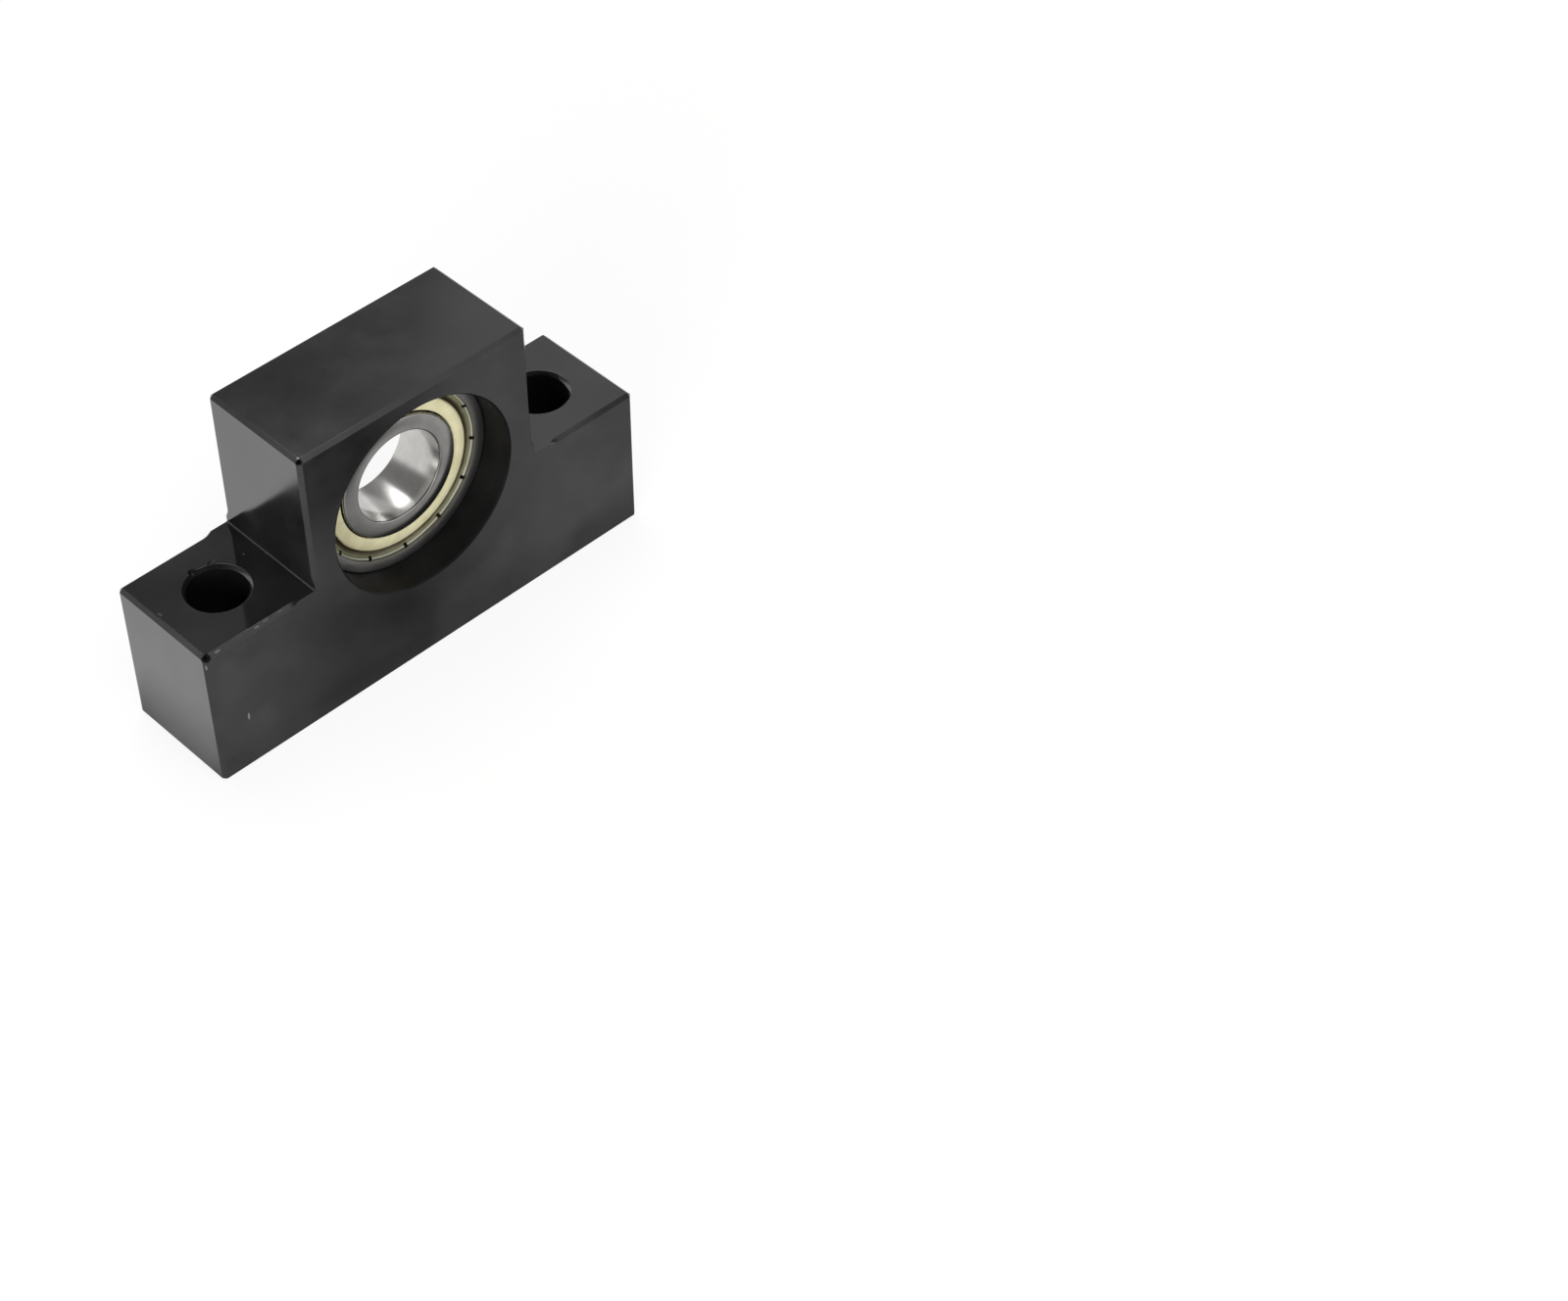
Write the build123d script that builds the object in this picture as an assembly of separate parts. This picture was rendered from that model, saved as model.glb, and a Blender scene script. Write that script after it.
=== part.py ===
from build123d import *
import os

# Support for the free end of a 20 mm ball screw: a steel block with a shielded
# deep groove ball bearing in its bore. Millimetres, +Z up. The origin is the
# middle of the base, X runs along the block and Y along the screw, which
# comes in from -Y.

# Block
BLOCK_LENGTH = 80.0
BLOCK_DEPTH = 20.0
EAR_HEIGHT = 25.0
AXIS_HEIGHT = 30.0
WALL_ABOVE_BORE = 3.0
WALL_BESIDE_BORE = 4.5
INNER_CORNER_RADIUS = 0.4
EDGE_CHAMFER = 0.6
BORE_CHAMFER = 0.25
HOLE_DIAMETER = 9.0
HOLE_CHAMFER = 0.5
HOLE_INSET = 0.25  # the holes sit this much nearer the tower than mid-ear

# Chamfering tool, a 45 degree cone that can't follow the edges into the inner corners
TOOL_RADIUS = 2.5
EAR_TOOL_STOP = 4.6  # from the tower's side to where the tool's axis stops
TOWER_TOOL_STOP = 2.7  # from the ear's top to where the tool's axis stops

# Ball bearing
BEARING_BORE = 15.0
BEARING_OUTER_DIAMETER = 32.0
BEARING_WIDTH = 9.0
BALL_DIAMETER = 4.7625
BALL_COUNT = 9
RING_CORNER = 0.3
GROOVE_DEPTH = 0.88  # depth of each raceway below its shoulders
GROOVE_CONFORMITY = 0.52  # raceway radius as a share of the ball's diameter
SHOULDER_CHAMFER = 0.25

# Cage, two pressed ribbons riveted together between the balls
CAGE_THICKNESS = 0.5
CAGE_SIDE_GAP = 0.5  # from the ribbon's edges to the shoulders of the rings
RIVET_DIAMETER = 0.8
RIVET_HEAD_DIAMETER = 1.3
RIVET_HEAD_HEIGHT = 0.3
RIVET_HEAD_CHAMFER = 0.12

# Shields, pressed sheet with a bead that is crimped into a groove in the outer ring
SHIELD_THICKNESS = 0.3
SHIELD_RECESS = 0.45  # from the rings' faces to the shield's plate
SHIELD_GAP = 0.25  # from the shield's inner edge to the inner ring
SHIELD_DISH = 0.45  # how far the valley round the plate lies behind it
SHIELD_STEP_WIDTH = 0.4  # slope between the plate and the valley
VALLEY_WIDTH = 0.12
FLANGE_RISE = 0.16  # how far the crimped flange stands out again from the valley
FLANGE_SLOPE_WIDTH = 0.18
BEAD_RADIUS = 0.28
BEAD_FLATS = 8
LIP_OVERLAP = 0.2  # how far the bead reaches under the lip of its groove
SHIELD_SEAT_STEP = 0.9  # from the outer ring's shoulder out to the lip
NOTCH_COUNT = 13
NOTCH_WIDTH = 0.45
NOTCH_DEPTH = 0.5
NOTCH_START = 21.1  # degrees, where the first notch sits

# Fits
HOUSING_FIT = 0.01
RUNNING_FIT = 0.02  # between each ball and its raceways
POCKET_GAP = 0.1
SEAT_FIT = 0.01
RIVET_FIT = 0.01

# Worked out from the above
TOWER_WIDTH = BEARING_OUTER_DIAMETER + 2 * WALL_BESIDE_BORE
BLOCK_HEIGHT = AXIS_HEIGHT + BEARING_OUTER_DIAMETER / 2 + WALL_ABOVE_BORE
HOLE_X = (BLOCK_LENGTH + TOWER_WIDTH) / 4 - HOLE_INSET
HALF_WIDTH = BEARING_WIDTH / 2
BALL_RADIUS = BALL_DIAMETER / 2
PITCH_RADIUS = (BEARING_BORE + BEARING_OUTER_DIAMETER) / 4
RACEWAY_RADIUS = GROOVE_CONFORMITY * BALL_DIAMETER
INNER_RACEWAY = PITCH_RADIUS - BALL_RADIUS - RUNNING_FIT
OUTER_RACEWAY = PITCH_RADIUS + BALL_RADIUS + RUNNING_FIT
INNER_SHOULDER = INNER_RACEWAY + GROOVE_DEPTH
OUTER_SHOULDER = OUTER_RACEWAY - GROOVE_DEPTH
LIP_RADIUS = OUTER_SHOULDER + SHIELD_SEAT_STEP
BEAD_CENTRE = LIP_RADIUS + LIP_OVERLAP - BEAD_RADIUS
PLATE_FACE = HALF_WIDTH - SHIELD_RECESS
VALLEY_FACE = PLATE_FACE - SHIELD_DISH
FLANGE_FACE = VALLEY_FACE + FLANGE_RISE
BEAD_Y = FLANGE_FACE + BEAD_RADIUS - SHIELD_THICKNESS
BALL_PITCH = 360 / BALL_COUNT
SIDES = (-1, 1)
SMALL = 0.001
ABOVE = (Align.CENTER, Align.CENTER, Align.MIN)
BELOW = (Align.CENTER, Align.CENTER, Align.MAX)


def ring_about_screw(profile):
    """Turn a profile, drawn as radius and place along the screw, about the screw's axis."""
    return Pos(0, 0, AXIS_HEIGHT) * revolve(profile, Axis.Y, 360)


def about_screw(piece, angle):
    """Place a piece, made on the +X side of the screw's axis, at an angle round that axis."""
    return Pos(0, 0, AXIS_HEIGHT) * Rot(0, -angle, 0) * piece


def stepped_bar():
    """The bar with its two ears, all corners sharp."""
    end, side = BLOCK_LENGTH / 2, TOWER_WIDTH / 2
    outline = Polyline(
        (-end, 0), (end, 0), (end, EAR_HEIGHT), (side, EAR_HEIGHT), (side, BLOCK_HEIGHT),
        (-side, BLOCK_HEIGHT), (-side, EAR_HEIGHT), (-end, EAR_HEIGHT), close=True,
    )
    return extrude(Plane.XZ * make_face(outline), BLOCK_DEPTH / 2, both=True)


def outer_corners(block):
    """The edges along the screw on the block's ends, base and top."""
    along = block.edges().filter_by(Axis.Y)
    ends = along.filter_by(lambda e: abs(e.center().X) > BLOCK_LENGTH / 2 - SMALL)
    top = along.filter_by(lambda e: e.center().Z > BLOCK_HEIGHT - SMALL)
    return ends + top


def relieved_block(bar):
    """The bar with a small radius in the inner corners."""
    outer = outer_corners(bar)
    return fillet([e for e in bar.edges().filter_by(Axis.Y) if e not in outer], INNER_CORNER_RADIUS)


def chamfered_block(block):
    """The block with every outer edge chamfered, the inner corners included."""
    rims = [e for face in block.faces().filter_by(Axis.Y) for e in face.outer_wire().edges()]
    return chamfer(rims + outer_corners(block), EDGE_CHAMFER)


def sharp_corner(block, side, end):
    """What the chamfering tool leaves at one end of an inner corner, its runouts included."""
    skin = Box(
        EAR_TOOL_STOP + INNER_CORNER_RADIUS + EDGE_CHAMFER,
        2 * EDGE_CHAMFER,
        TOWER_TOOL_STOP + INNER_CORNER_RADIUS + EDGE_CHAMFER,
        align=(Align.MAX, Align.CENTER, Align.MAX),
    )
    tool = Cone(TOOL_RADIUS - EDGE_CHAMFER, TOOL_RADIUS, EDGE_CHAMFER, align=BELOW)
    corner_x = TOWER_WIDTH / 2
    tool_y = BLOCK_DEPTH / 2 - EDGE_CHAMFER + TOOL_RADIUS
    corner = block & Pos(corner_x + EAR_TOOL_STOP, BLOCK_DEPTH / 2, EAR_HEIGHT + TOWER_TOOL_STOP) * skin
    corner -= Pos(corner_x + EAR_TOOL_STOP, tool_y, EAR_HEIGHT) * tool
    corner -= Pos(corner_x, tool_y, EAR_HEIGHT + TOWER_TOOL_STOP) * Rot(0, 90, 0) * tool
    if end < 0:
        corner = mirror(corner, Plane.XZ)
    if side < 0:
        corner = mirror(corner, Plane.YZ)
    return corner


def hole_cutter(diameter, length, rim):
    """A drill along Z about its middle that also breaks both rims of its hole."""
    cutter = Cylinder(diameter / 2, length + 2 * rim)
    for end in SIDES:
        countersink = Cone(diameter / 2, diameter / 2 + 2 * rim, 2 * rim)
        cutter += Pos(0, 0, end * length / 2) * Rot(0 if end > 0 else 180, 0, 0) * countersink
    return cutter


def housing():
    block = relieved_block(stepped_bar())
    body = chamfered_block(block)
    for side in SIDES:
        for end in SIDES:
            body += sharp_corner(block, side, end)
    bore = hole_cutter(BEARING_OUTER_DIAMETER + 2 * HOUSING_FIT, BLOCK_DEPTH, BORE_CHAMFER)
    body -= Pos(0, 0, AXIS_HEIGHT) * Rot(90, 0, 0) * bore
    bolt_hole = hole_cutter(HOLE_DIAMETER, EAR_HEIGHT, HOLE_CHAMFER)
    for side in SIDES:
        body -= Pos(side * HOLE_X, 0, EAR_HEIGHT / 2) * bolt_hole
    return body


def raceway(bottom, outward):
    """Section of the groove that the balls run in; outward is 1 for the outer ring."""
    return Pos(bottom - outward * RACEWAY_RADIUS, 0) * Circle(RACEWAY_RADIUS)


def shield_seat():
    """Section of the step and undercut groove that the back shield is crimped into."""
    wall = BEAD_Y - BEAD_RADIUS - SEAT_FIT
    top = BEAD_Y + BEAD_RADIUS + SEAT_FIT
    corner = (Align.MIN, Align.MIN)
    step = Rectangle(SHIELD_SEAT_STEP, HALF_WIDTH - wall, align=corner)
    undercut = Rectangle(SHIELD_SEAT_STEP + LIP_OVERLAP + SEAT_FIT, top - wall, align=corner)
    return Pos(OUTER_SHOULDER, wall) * (step + undercut)


def outer_ring():
    wall = BEARING_OUTER_DIAMETER / 2 - OUTER_SHOULDER
    section = Pos(OUTER_SHOULDER + wall / 2, 0) * Rectangle(wall, BEARING_WIDTH)
    section = chamfer(section.vertices().group_by(Axis.X)[-1], RING_CORNER)
    section -= raceway(OUTER_RACEWAY, 1)
    section -= shield_seat()
    section -= mirror(shield_seat(), Plane.XZ)
    return ring_about_screw(section)


def inner_ring():
    wall = INNER_SHOULDER - BEARING_BORE / 2
    section = Pos(BEARING_BORE / 2 + wall / 2, 0) * Rectangle(wall, BEARING_WIDTH)
    section = chamfer(section.vertices().group_by(Axis.X)[0], RING_CORNER)
    section = chamfer(section.vertices().group_by(Axis.X)[-1], SHOULDER_CHAMFER)
    section -= raceway(INNER_RACEWAY, -1)
    return ring_about_screw(section)


def ball(number):
    return about_screw(Pos(PITCH_RADIUS, 0, 0) * Sphere(BALL_RADIUS), ball_angle(number))


def ball_angle(number):
    """Degrees round the screw's axis of one ball; the first is at the top."""
    return 90 + BALL_PITCH * (number - 1)


def cage_half(end):
    """One pressed ribbon: flats between the balls, and a domed pocket over each ball."""
    inner = INNER_SHOULDER + CAGE_SIDE_GAP
    outer = OUTER_SHOULDER - CAGE_SIDE_GAP
    pocket = BALL_RADIUS + POCKET_GAP
    dome = pocket + CAGE_THICKNESS
    ribbon = Rot(90, 0, 0) * Cylinder(outer, 2 * CAGE_THICKNESS)
    places = [Rot(0, -ball_angle(n), 0) * Pos(PITCH_RADIUS, 0, 0) for n in range(1, BALL_COUNT + 1)]
    for place in places:
        ribbon += place * Sphere(dome)
    for place in places:
        ribbon -= place * Sphere(pocket)
    band = Cylinder(outer, dome, align=ABOVE) - Cylinder(inner, dome, align=ABOVE)
    ribbon &= Rot(-90 * end, 0, 0) * band
    rivet_hole = Rot(90, 0, 0) * Cylinder(RIVET_DIAMETER / 2 + RIVET_FIT, 4 * CAGE_THICKNESS)
    for n in range(1, BALL_COUNT + 1):
        ribbon -= Rot(0, -ball_angle(n) - BALL_PITCH / 2, 0) * Pos(PITCH_RADIUS, 0, 0) * rivet_hole
    return Pos(0, 0, AXIS_HEIGHT) * ribbon


def cage_rivet(number):
    """Rivet through both ribbons, just after the ball of the same number."""
    head = Pos(0, 0, CAGE_THICKNESS) * Cylinder(RIVET_HEAD_DIAMETER / 2, RIVET_HEAD_HEIGHT, align=ABOVE)
    head = chamfer(head.edges().group_by(Axis.Z)[-1], RIVET_HEAD_CHAMFER)
    rivet = Cylinder(RIVET_DIAMETER / 2, 2 * CAGE_THICKNESS) + head + mirror(head, Plane.XY)
    return about_screw(Pos(PITCH_RADIUS, 0, 0) * Rot(90, 0, 0) * rivet, ball_angle(number) + BALL_PITCH / 2)


def shield(end):
    """Pressed shield: flat plate, dished valley and a flange whose beaded rim is crimped."""
    inner = INNER_SHOULDER + SHIELD_GAP
    slope_end = OUTER_SHOULDER - FLANGE_SLOPE_WIDTH / 2
    valley_out = slope_end - FLANGE_SLOPE_WIDTH
    valley_in = valley_out - VALLEY_WIDTH
    plate_edge = valley_in - SHIELD_STEP_WIDTH
    face = [
        (inner, PLATE_FACE), (plate_edge, PLATE_FACE), (valley_in, VALLEY_FACE),
        (valley_out, VALLEY_FACE), (slope_end, FLANGE_FACE), (BEAD_CENTRE, FLANGE_FACE),
    ]
    back = [(r, y - SHIELD_THICKNESS) for r, y in reversed(face)]
    bead = Rot(0, 0, 180 / BEAD_FLATS) * RegularPolygon(BEAD_RADIUS, BEAD_FLATS, major_radius=False)
    section = make_face(Polyline(*face, *back, close=True)) + Pos(BEAD_CENTRE, BEAD_Y) * bead
    if end < 0:
        section = mirror(section, Plane.XZ)
    piece = ring_about_screw(section)
    reach = BEAD_CENTRE + BEAD_RADIUS
    notch = Pos(reach, end * BEAD_Y, 0) * Box(2 * NOTCH_DEPTH, 4 * BEAD_RADIUS, NOTCH_WIDTH)
    for n in range(NOTCH_COUNT):
        piece -= about_screw(notch, NOTCH_START + n * 360 / NOTCH_COUNT)
    return piece


def build_parts():
    """Every node of the support, by name."""
    parts = {
        "housing": housing(),
        "outer_ring": outer_ring(),
        "inner_ring": inner_ring(),
        "cage_front": cage_half(-1),
        "cage_back": cage_half(1),
        "shield_front": shield(-1),
        "shield_back": shield(1),
    }
    for number in range(1, BALL_COUNT + 1):
        parts[f"ball_{number}"] = ball(number)
        parts[f"cage_rivet_{number}"] = cage_rivet(number)
    return parts


os.makedirs("parts", exist_ok=True)
for name, piece in build_parts().items():
    export_step(piece, f"parts/{name}.step")
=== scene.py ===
import math

import bmesh
import bpy
from bpy.props import FloatProperty, FloatVectorProperty, IntProperty, PointerProperty
from bpy.types import Operator, Panel, PropertyGroup
from mathutils import Matrix, Quaternion, Vector


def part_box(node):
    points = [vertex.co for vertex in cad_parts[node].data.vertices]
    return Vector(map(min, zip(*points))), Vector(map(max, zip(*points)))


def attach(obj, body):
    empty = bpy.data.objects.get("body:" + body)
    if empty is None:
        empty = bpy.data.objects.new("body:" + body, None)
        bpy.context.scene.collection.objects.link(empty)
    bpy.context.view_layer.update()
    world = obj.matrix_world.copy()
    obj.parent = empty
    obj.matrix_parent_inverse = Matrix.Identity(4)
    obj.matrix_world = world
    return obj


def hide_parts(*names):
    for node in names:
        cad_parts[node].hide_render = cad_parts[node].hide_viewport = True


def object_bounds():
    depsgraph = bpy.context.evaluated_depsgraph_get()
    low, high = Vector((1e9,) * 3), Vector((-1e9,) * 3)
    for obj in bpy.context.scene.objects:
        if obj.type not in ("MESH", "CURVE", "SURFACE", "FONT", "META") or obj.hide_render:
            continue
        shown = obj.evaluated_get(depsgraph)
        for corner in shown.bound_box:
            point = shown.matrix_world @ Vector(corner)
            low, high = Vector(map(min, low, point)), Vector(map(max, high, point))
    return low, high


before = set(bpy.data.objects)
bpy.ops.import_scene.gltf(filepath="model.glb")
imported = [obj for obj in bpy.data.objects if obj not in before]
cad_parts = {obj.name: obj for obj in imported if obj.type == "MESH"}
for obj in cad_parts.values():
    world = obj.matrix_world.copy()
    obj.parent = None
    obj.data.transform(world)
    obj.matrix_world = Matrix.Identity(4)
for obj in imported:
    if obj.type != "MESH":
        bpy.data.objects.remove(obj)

bl_info = {
    "name": "Ball Screw End Support",
    "version": (1, 0, 0),
    "blender": (4, 5, 0),
    "location": "3D View > Sidebar > End Support",
    "description": "Builds the finished look of a ball screw end support over its CAD frame",
    "category": "Object",
}

MM = 0.001
CAD_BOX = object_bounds()
OUTER_LOW, OUTER_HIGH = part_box("outer_ring")
AXIS = (OUTER_LOW + OUTER_HIGH) / 2  # the middle of the bearing
ACROSS = (0, 1, 0)  # the way the bearing's axis runs
OUTER_RADIUS = OUTER_HIGH.x
HALF_WIDTH = OUTER_HIGH.y  # of the bearing
BORE_RADIUS = 7.5 * MM
TOWER_HALF = 20.5 * MM
TOWER_TOP = CAD_BOX[1][2]
EAR_TOP = 25 * MM
BOLT_X = 30 * MM
BOLT_RADIUS = 4.5 * MM

FULL_TURN = math.tau
SHARP = math.radians(25)  # an edge that turns by more is rounded
GENTLE = math.radians(30)  # an edge that turns by less is shaded smooth
FLUSH = math.radians(0.2)  # the same at the rim of a flat face
CLOSE = 1e-7  # points of a section nearer than this are one
CAD_CLOSE = 1e-6  # the same for the points of a CAD mesh and for a point on a flat side
COPLANAR = math.radians(0.5)  # faces of a CAD mesh that turn by less are one flat face


def length(name, text, value):
    """A length in metres that a user may change."""
    return FloatProperty(
        name=name, description=text, default=value, min=0.0, unit="LENGTH", precision=6)


def share(name, text, value):
    """A plain number from 0 to 1."""
    return FloatProperty(name=name, description=text, default=value, min=0.0, max=1.0)


def degrees(name, text, value):
    """An angle that a user may change."""
    return FloatProperty(
        name=name, description=text, default=math.radians(value), subtype="ANGLE")


def paint(name, text, value):
    """A colour that a user may change."""
    return FloatVectorProperty(
        name=name, description=text, default=value, size=3, min=0.0, max=1.0, subtype="COLOR")


class BlockSettings(PropertyGroup):
    edge_radius: length("Edge radius", "Rounding left on the block's machined edges", 0.05 * MM)
    oxide: paint("Oxide", "Colour of the blackened steel", (0.0062, 0.0062, 0.0064))
    bare: paint("Bare steel", "Colour where the oxide is rubbed through", (0.44, 0.43, 0.41))
    film: paint(
        "Film", "Colour of the faint film of dust and oil on the sides", (0.016, 0.016, 0.0158))
    gloss: share("Roughness", "Mean roughness of the oxide", 0.12)
    cloudiness: share("Cloudiness", "How far the roughness wanders from its mean", 0.03)
    bored: share("Bored roughness", "Roughness of the walls of the bore and holes", 0.42)
    # The bored walls are painted darker than the ground faces, as shade in the bore and holes
    shaded_bored_oxide: paint(
        "Bored oxide", "Colour of the walls of the bore and holes", (0.0035, 0.0035, 0.004))


class BearingSettings(PropertyGroup):
    steps: IntProperty(
        name="Steps", description="Steps round each ring", default=156, min=24, max=360)
    corner: length("Ring corner", "Radius on the rings' outer corners", 0.3 * MM)
    shoulder_corner: length("Shoulder corner", "Radius on the inner ring's shoulders", 0.25 * MM)
    outer_shoulder: length("Outer shoulder", "Radius of the outer ring's shoulders", 13.27125 * MM)
    inner_shoulder: length("Inner shoulder", "Radius of the inner ring's shoulders", 10.22875 * MM)
    pitch: length("Ball circle", "Radius of the circle through the balls' middles", 11.75 * MM)
    ball: length("Ball radius", "Radius of each ball", 2.38125 * MM)
    balls: IntProperty(
        name="Balls", description="How many balls run in the bearing", default=9, min=3, max=20)
    groove: length("Groove radius", "Radius of the raceways' section", 2.4765 * MM)
    clearance: length("Clearance", "Between a ball and each raceway", 0.02 * MM)
    seat_floor: length(
        "Seat floor", "From the bearing's middle to the step behind each shield", 3.45 * MM)
    seat_top: length(
        "Seat top", "From the bearing's middle to the lip over each bead", 4.03 * MM)
    lip: length("Lip radius", "Radius of the lip that holds each bead", 14.17125 * MM)
    seat: length("Seat radius", "Radius of the groove under the lip", 14.38125 * MM)
    steel: paint("Bearing steel", "Colour of the rings and balls", (0.60, 0.59, 0.57))
    # Grease painted near black as the shade in the shields' seats and notches
    grease_shade: paint("Grease", "Colour of the old grease in the seats", (0.012, 0.011, 0.008))


class ShieldSettings(PropertyGroup):
    thickness: length("Sheet", "Thickness of the pressed sheet", 0.3 * MM)
    inner: length("Inner radius", "Radius of the hole in the shield", 10.47875 * MM)
    plate: length("Plate radius", "Where the flat plate ends", 12.48125 * MM)
    valley_in: length("Valley start", "Radius where the valley starts", 12.88125 * MM)
    valley_out: length("Valley end", "Radius where the valley ends", 13.00125 * MM)
    flange: length("Flange radius", "Radius where the flange starts", 13.18125 * MM)
    plate_height: length("Plate", "From the bearing's middle to the plate's face", 4.05 * MM)
    valley_height: length("Valley", "From the bearing's middle to the valley", 3.6 * MM)
    flange_height: length("Flange", "From the bearing's middle to the flange", 3.76 * MM)
    bead: length("Bead radius", "Radius of the rolled rim", 0.28 * MM)
    bead_centre: length(
        "Bead circle", "Radius of the circle that the rim is rolled round", 14.09125 * MM)
    bend: length("Bend radius", "Rounding of the pressed bends", 0.05 * MM)
    plate_bend: length("Plate bend", "Rounding of the plate's rim", 0.25 * MM)
    notches: IntProperty(
        name="Notches", description="Crimping notches in the rim", default=13, min=1, max=40)
    notch_width: length("Notch width", "Width of each notch", 0.6 * MM)
    notch_depth: length("Notch depth", "How far each notch reaches in from the rim", 0.8 * MM)
    notch_start: degrees("First notch", "Angle of the first notch", 21.1)
    sheet: paint("Shield plating", "Colour of the plated sheet", (0.98, 0.93, 0.60))
    # The valley, flange, rim and rim foot colours are painted light and shade: shade in the
    # valley, on the flange and where the rim sinks under the lip, a highlight along the rolled rim
    valley_shade: paint("Valley", "Colour of the stained valley", (0.06, 0.045, 0.02))
    flange_shade: paint("Flange", "Colour of the stained flange", (0.26, 0.26, 0.165))
    rim: paint("Rim", "Colour of the rolled rim", (0.62, 0.62, 0.53))
    rim_foot_shade: paint(
        "Rim foot", "Colour of the rim where it sinks under the lip", (0.16, 0.16, 0.14))


class StudioSettings(PropertyGroup):
    lens: FloatProperty(
        name="Lens", description="Focal length on a 36 mm sensor", default=74.873, unit="CAMERA")
    eye: FloatVectorProperty(
        name="Eye", description="Where the camera stands",
        default=(-0.204888, -0.287827, 0.343731), size=3, subtype="TRANSLATION", unit="LENGTH")
    turn: degrees("Turn", "Camera's angle round the object", -44.925)
    tilt: degrees("Tilt", "Camera's angle above the horizon", 45.278)
    roll: degrees("Roll", "Camera's roll about its own line", 0.327)
    floor: paint("Floor", "Colour of the floor", (0.90, 0.90, 0.885))
    wall: paint("Backdrop", "Colour of the backdrop", (1.0, 1.0, 1.0))
    ceiling: share("Ceiling", "Brightness of the room above the backdrop", 0.245)
    front: share("Front of the room", "Most brightness of the ceiling towards the front", 0.6)
    near_floor: share(
        "Near floor", "Brightness that the floor before the block shows in reflections", 0.39)
    shade: share("Shade", "Share of that brightness left before the tower", 0.08)
    foot_shade: share("Shade at the foot", "Share of that brightness left below the bore", 0.3)


class EndSupportSettings(PropertyGroup):
    block: PointerProperty(type=BlockSettings, name="Block", description="The blackened block")
    bearing: PointerProperty(
        type=BearingSettings, name="Bearing", description="The ball bearing")
    shield: PointerProperty(
        type=ShieldSettings, name="Shield", description="The pressed shields")
    studio: PointerProperty(
        type=StudioSettings, name="Studio", description="Camera, floor and light")


# Drawing and turning


def in_section(radius, along):
    """A point of a section, drawn in the flat plane through the bearing's axis."""
    return Vector((radius, along, AXIS.z))


def draw_section(bm, start, strokes):
    """Draw straight strokes to (radius, along), and arcs (radius, along, angle, steps)."""
    point = bm.verts.new(in_section(*start))
    for stroke in strokes:
        if len(stroke) == 2:
            point = bmesh.ops.extrude_vert_indiv(bm, verts=[point])["verts"][0]
            point.co = in_section(*stroke)
        else:
            radius, along, angle, steps = stroke
            turned = bmesh.ops.spin(
                bm, geom=[point], cent=in_section(radius, along), axis=(0, 0, 1), angle=angle,
                steps=steps)
            point = turned["geom_last"][0]


def mirror_section(bm):
    """Add the other half of a section that was drawn on one side of the bearing's middle."""
    bmesh.ops.mirror(
        bm, geom=bm.verts[:] + bm.edges[:], matrix=Matrix.Identity(4), merge_dist=CLOSE, axis="Y")


def turn_section(bm, steps):
    """Turn the section all the way round the bearing's axis."""
    bmesh.ops.remove_doubles(bm, verts=bm.verts, dist=CLOSE)
    bmesh.ops.spin(
        bm, geom=bm.verts[:] + bm.edges[:], cent=AXIS, axis=ACROSS, angle=FULL_TURN, steps=steps,
        use_merge=True)
    bmesh.ops.remove_doubles(bm, verts=bm.verts, dist=CLOSE)
    bmesh.ops.recalc_face_normals(bm, faces=bm.faces)


def round_edges(bm, radius, segments, wanted=None):
    """Round the sharp edges, or those of them that are wanted."""
    sharp = [e for e in bm.edges if e.is_manifold and e.calc_face_angle() > SHARP]
    if wanted:
        sharp = [e for e in sharp if wanted(e)]
    bmesh.ops.bevel(
        bm, geom=sharp, offset=radius, segments=segments, profile=0.5, affect="EDGES",
        material=-1, clamp_overlap=True)


def edge_radius(edge):
    """How far an edge's middle is from the bearing's axis."""
    middle = (edge.verts[0].co + edge.verts[1].co) / 2 - AXIS
    return math.hypot(middle.x, middle.z)


def as_mesh(bm, name):
    """Turn a bmesh into a mesh."""
    mesh = bpy.data.meshes.new(name)
    bm.to_mesh(mesh)
    bm.free()
    return mesh


def finished_mesh(bm, name, flat=frozenset()):
    """A mesh that is smooth across its gentle edges, but not at the rim of a flat face."""
    for face in bm.faces:
        face.smooth = True
    for edge in bm.edges:
        limit = GENTLE if flat.isdisjoint(edge.link_faces) else FLUSH
        edge.smooth = edge.is_manifold and edge.calc_face_angle() < limit
    return as_mesh(bm, name)


def cut_from(mesh, cutter):
    """The first mesh less the second, as a bmesh."""
    scene = bpy.context.scene
    blank = bpy.data.objects.new("blank", mesh)
    tool = bpy.data.objects.new("tool", cutter)
    for part in (blank, tool):
        scene.collection.objects.link(part)
    cut = blank.modifiers.new("cut", "BOOLEAN")
    cut.operation, cut.solver, cut.object = "DIFFERENCE", "EXACT", tool
    graph = bpy.context.evaluated_depsgraph_get()
    result = bpy.data.meshes.new_from_object(blank.evaluated_get(graph))
    for part in (blank, tool):
        bpy.data.objects.remove(part)
    bm = bmesh.new()
    bm.from_mesh(result)
    return bm


def place_piece(name, mesh, materials, body, slot, *nodes):
    """Put a finished piece in the scene, riding on its body in place of its CAD nodes."""
    piece = bpy.data.objects.new(name, mesh)
    bpy.context.scene.collection.objects.link(piece)
    for material in materials:
        mesh.materials.append(material)
    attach(piece, body)
    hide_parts(*nodes)


# Material nodes


def new_material(name):
    """A material with an empty shader."""
    material = bpy.data.materials.new(name)
    material.use_nodes = True
    tree = material.node_tree
    return material, tree, tree.nodes["Principled BSDF"]


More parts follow.
